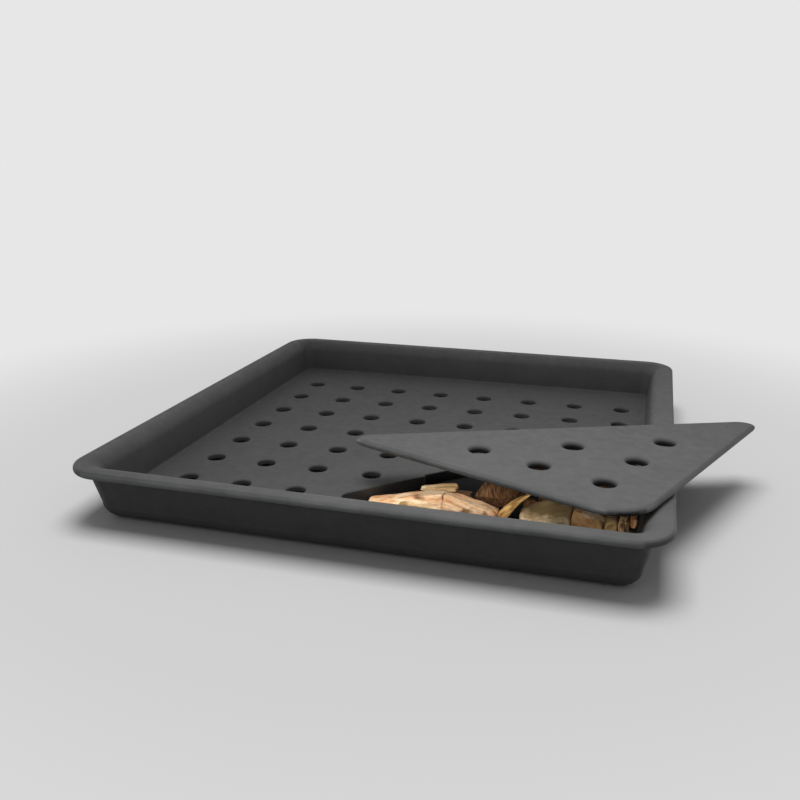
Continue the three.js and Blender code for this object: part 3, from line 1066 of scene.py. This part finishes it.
# %% The tones of the chips
# For each wood: its slot, then its dark, middle and light layers and its bark or weathering.
WOODS = {
    "pale": ("pale_wood", (196, 138, 94), (228, 180, 134), (246, 216, 178), (110, 76, 48)),
    "cream": ("pale_wood", (190, 150, 104), (224, 194, 146), (246, 230, 194), (196, 162, 108)),
    "tan": ("tan_wood", (128, 88, 52), (172, 130, 88), (204, 168, 124), (92, 66, 42)),
    "golden": ("golden_wood", (108, 70, 32), (186, 136, 74), (240, 202, 128), (130, 84, 40)),
    "orange": ("golden_wood", (140, 88, 48), (190, 132, 84), (220, 170, 122), (110, 72, 42)),
    "brown": ("brown_wood", (58, 36, 20), (106, 70, 42), (140, 100, 64), (66, 44, 28)),
    # Its pale fourth tone lies over the chip's top: partly weathered skin, partly painted light.
    "faced": ("tan_wood", (128, 92, 56), (168, 128, 84), (198, 158, 108), (244, 226, 194)),
    "dun": ("tan_wood", (132, 108, 70), (160, 132, 88), (180, 152, 106), (110, 84, 52)),
    "olive": ("tan_wood", (176, 136, 92), (212, 178, 130), (238, 212, 174), (92, 76, 46)),
    "knotty": ("tan_wood", (176, 136, 92), (212, 178, 130), (238, 212, 174), (150, 118, 70)),
    "striped": ("brown_wood", (62, 48, 30), (128, 102, 68), (226, 186, 136), (84, 66, 42)),
}
print("woods:", *WOODS)

# %% What each chip is like
# What a chip has unless its entry says otherwise: how much of it is bark or weathered, which
# way along its own axes that part lies and how soft its edge is, how fine its layers are,
# how far its grain is turned, whether it is split square and whether it is ridged, how much
# its ends break away, how far it swells, and how rough it is.
PLAIN = {
    "patch": 0.15, "towards": (0, 0, 0), "soft": 0.05, "stripes": 240,
    "spin": 0, "square": 0, "ridged": False, "ends": 1, "swell": 0.9, "rough": 1,
}
CHIPS = (
    {"wood": "pale", "patch": 0.05, "stripes": 380, "ends": 0.1, "swell": 1.7, "rough": 1.4},
    {"wood": "pale", "patch": 0.35, "towards": (0.2, 0, -0.6), "stripes": 420, "ends": 0.1,
     "swell": 1.5, "rough": 1.8},
    {"wood": "knotty", "patch": -0.8, "towards": (-2.4, 0, 0), "stripes": 200, "ends": 1.6,
     "swell": 1.1, "rough": 4},
    {"wood": "brown", "stripes": 700, "spin": -58, "square": 0.9, "ridged": True, "ends": 0.1,
     "rough": 0.3},
    {"wood": "tan", "patch": 0.4, "towards": (0.5, 0, 0)},
    {"wood": "tan"},
    {"wood": "olive", "patch": 0.55, "towards": (0.5, 0, 1.1), "soft": 0.12, "stripes": 120,
     "ends": 0.1, "swell": 2.2, "rough": 0.8},
    # Its pale top is partly weathered skin and partly painted light.
    {"wood": "faced", "patch": 0.45, "towards": (0.9, 0.3, 1.2), "soft": 0.12, "stripes": 160,
     "ends": 0.1, "swell": 3, "rough": 0.7},
    {"wood": "dun", "patch": 0.1, "stripes": 120, "spin": 90, "ends": 0.1, "swell": 3,
     "rough": 0.25},
    {"wood": "striped", "patch": 0.05, "stripes": 600, "spin": 90, "ends": 0.1, "swell": 4,
     "rough": 0.25},
    {"wood": "tan"},
    {"wood": "pale"},
    {"wood": "tan", "patch": 0.3},
    {"wood": "cream", "patch": 0.25, "towards": (1.4, 0, 0), "soft": 0.15, "stripes": 160,
     "ends": 1.6, "rough": 8},
    {"wood": "golden", "patch": 0.1, "towards": (0.6, 0, 0), "stripes": 420, "ends": 0.5},
    {"wood": "brown", "stripes": 300},
    {"wood": "tan"},
    {"wood": "orange", "patch": 0.1, "spin": 90, "ends": 0.1, "swell": 1.4, "rough": 0.6},
)
print("chips described:", len(CHIPS))

# %% Split and finish every chip
SHAPE_KEYS = ("spin", "square", "ridged", "ends", "swell", "rough")
LOOK_KEYS = ("patch", "towards", "soft", "stripes", "ridged")

chips = []
for number, own in enumerate(CHIPS, start=1):
    node = f"wood_chip_{number:02d}"
    chip_like = {**PLAIN, **own}
    wood = chip_like["wood"]
    slot, *tones = WOODS[wood]
    chip, grain_way = split_chip(node, number, *(chip_like[key] for key in SHAPE_KEYS))
    chip.data.materials.clear()
    chip.data.materials.append(split_wood(
        f"{wood}_wood_{number:02d}", tones, number, grain_way,
        *(chip_like[key] for key in LOOK_KEYS)))
    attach(chip, "tray")
    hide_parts(node)
    chips.append(chip)
print("chips:", len(chips), "faces:", sum(len(chip.data.polygons) for chip in chips))

# %% [markdown]
# The floor and the background
# The tray stands on a floor that is plain and pale. A curved paper backdrop would do, as in a
# studio, but it would show its shading. Here the floor is shaded only near the tray, where
# its shadow falls, and fades further out into a background of the same tone. Only what
# reaches the eye, straight or by way of gloss or glass, is this pale. Light that bounces
# finds a darker floor, so that the tray's walls aren't lit from below.

# %% Mix what rays see
PALE = 0.8


def seen_directly(tree):
    """1 for rays that show the background: from the camera, or by way of gloss or glass."""
    rays = add_node(tree, "LightPath").outputs
    gloss = calculate(tree, "MAXIMUM", rays["Is Camera Ray"], rays["Is Glossy Ray"])
    return calculate(tree, "MAXIMUM", gloss, rays["Is Transmission Ray"])


def mix_shaders(tree, factor, first, second):
    mixed = add_node(tree, "MixShader", Fac=factor)
    fill(tree, mixed.inputs[1], first)
    fill(tree, mixed.inputs[2], second)
    return mixed.outputs["Shader"]


print("pale tone:", PALE)

# %% Make the floor
UNSEEN_TONE = 0.12
FLOOR_REACH = 6
FLOOR_GAP = 0.1 * MM
SHADED_TO = 0.24
FADED_FROM = 0.6


def pale_floor():
    material, tree = empty_material("pale_floor")
    seen = seen_directly(tree)
    lit = add_node(tree, "BsdfDiffuse", Color=grey(PALE)).outputs["BSDF"]
    unseen = add_node(tree, "BsdfDiffuse", Color=grey(UNSEEN_TONE)).outputs["BSDF"]
    glow = add_node(tree, "Emission", Color=grey(PALE)).outputs["Emission"]
    place = add_node(tree, "TexCoord").outputs["Object"]
    away = calculate(tree, "LENGTH", place, kind="VectorMath")
    fade = add_node(tree, "MapRange", {"interpolation_type": "SMOOTHSTEP"},
                    Value=away, From_Min=SHADED_TO, From_Max=FADED_FROM)
    shown = mix_shaders(tree, fade.outputs["Result"], lit, glow)
    add_node(tree, "OutputMaterial", Surface=mix_shaders(tree, seen, unseen, shown))
    return material


corners = [(-FLOOR_REACH, -FLOOR_REACH, 0), (FLOOR_REACH, -FLOOR_REACH, 0),
           (FLOOR_REACH, FLOOR_REACH, 0), (-FLOOR_REACH, FLOOR_REACH, 0)]
floor = put_in_scene("studio_floor", mesh_from("studio_floor", corners, [[0, 1, 2, 3]]))
floor.location = tray_foot - Vector((0, 0, FLOOR_GAP))
floor.data.materials.append(pale_floor())
print("floor, m:", 2 * FLOOR_REACH)

# %% [markdown]
# Light
# The photograph lights the tray from above, so the flat tops are light and the sides fall
# away. One lamp could light it all, but would leave the chips dark. A broad, soft lamp hangs
# close over the front right corner, where the iron is the lightest, and its light fades
# towards the far rim. A faint even light from all round keeps every side from going black.
# The chips lie low behind the rim with their faces to the front, where light from above
# hardly reaches, and yet the photograph shows them bright. A second, wide lamp in front
# lights them alone: light linking keeps it off the iron. A lamp of its own lights the floor.

# %% Light from all round
AMBIENT = 0.22

world = bpy.data.worlds.new("studio")
bpy.context.scene.world = world
world.use_nodes = True
sky = world.node_tree
sky.nodes.clear()
soft = add_node(sky, "Background", Color=grey(1), Strength=AMBIENT).outputs["Background"]
pale = add_node(sky, "Background", Color=grey(PALE)).outputs["Background"]
add_node(sky, "OutputWorld", Surface=mix_shaders(sky, seen_directly(sky), soft, pale))
print("light from all round:", AMBIENT)

# %% Hang the lamps
POOL_LAMP = {"place": (-0.01, -0.16, 0.67), "aim": (0.12, -0.17, 0.04), "watts": 13.4}
POOL_ANGLE = math.radians(66)
POOL_RADIUS = 0.2
FRONT_LAMP = {"place": (0.1, -0.8, 0.42), "size": 0.5, "watts": 8}
FLOOR_LAMP = {"place": (0, 0, 1.5), "size": 0.9, "watts": 15}


def hung_lamp(name, kind, place, watts, aim=(0, 0, 0)):
    """A lamp turned to its aim. Place and aim are measured from the middle of the tray's foot."""
    lamp = bpy.data.objects.new(name, bpy.data.lights.new(name, kind))
    bpy.context.scene.collection.objects.link(lamp)
    lamp.data.energy = watts
    lamp.location = tray_foot + Vector(place)
    way = lamp.location - tray_foot - Vector(aim)
    lamp.rotation_euler = way.to_track_quat("Z", "Y").to_euler()
    return lamp


def square_lamp(name, place, size, watts):
    lamp = hung_lamp(name, "AREA", place, watts)
    lamp.data.shape = "SQUARE"
    lamp.data.size = size
    return lamp


def light_only(lamp, pieces):
    """Light linking: the lamp reaches these pieces and no others."""
    group = bpy.data.collections.new(lamp.name + "_lights")
    for piece in pieces:
        group.objects.link(piece)
    lamp.light_linking.receiver_collection = group


pool_lamp = hung_lamp("pool_lamp", "SPOT", **POOL_LAMP)
pool_lamp.data.spot_size = POOL_ANGLE
pool_lamp.data.spot_blend = 1
pool_lamp.data.shadow_soft_size = POOL_RADIUS
light_only(pool_lamp, [tray, lid, *chips])
light_only(square_lamp("front_lamp", **FRONT_LAMP), chips)
light_only(square_lamp("floor_lamp", **FLOOR_LAMP), [floor])
bpy.context.scene.view_settings.view_transform = "Standard"
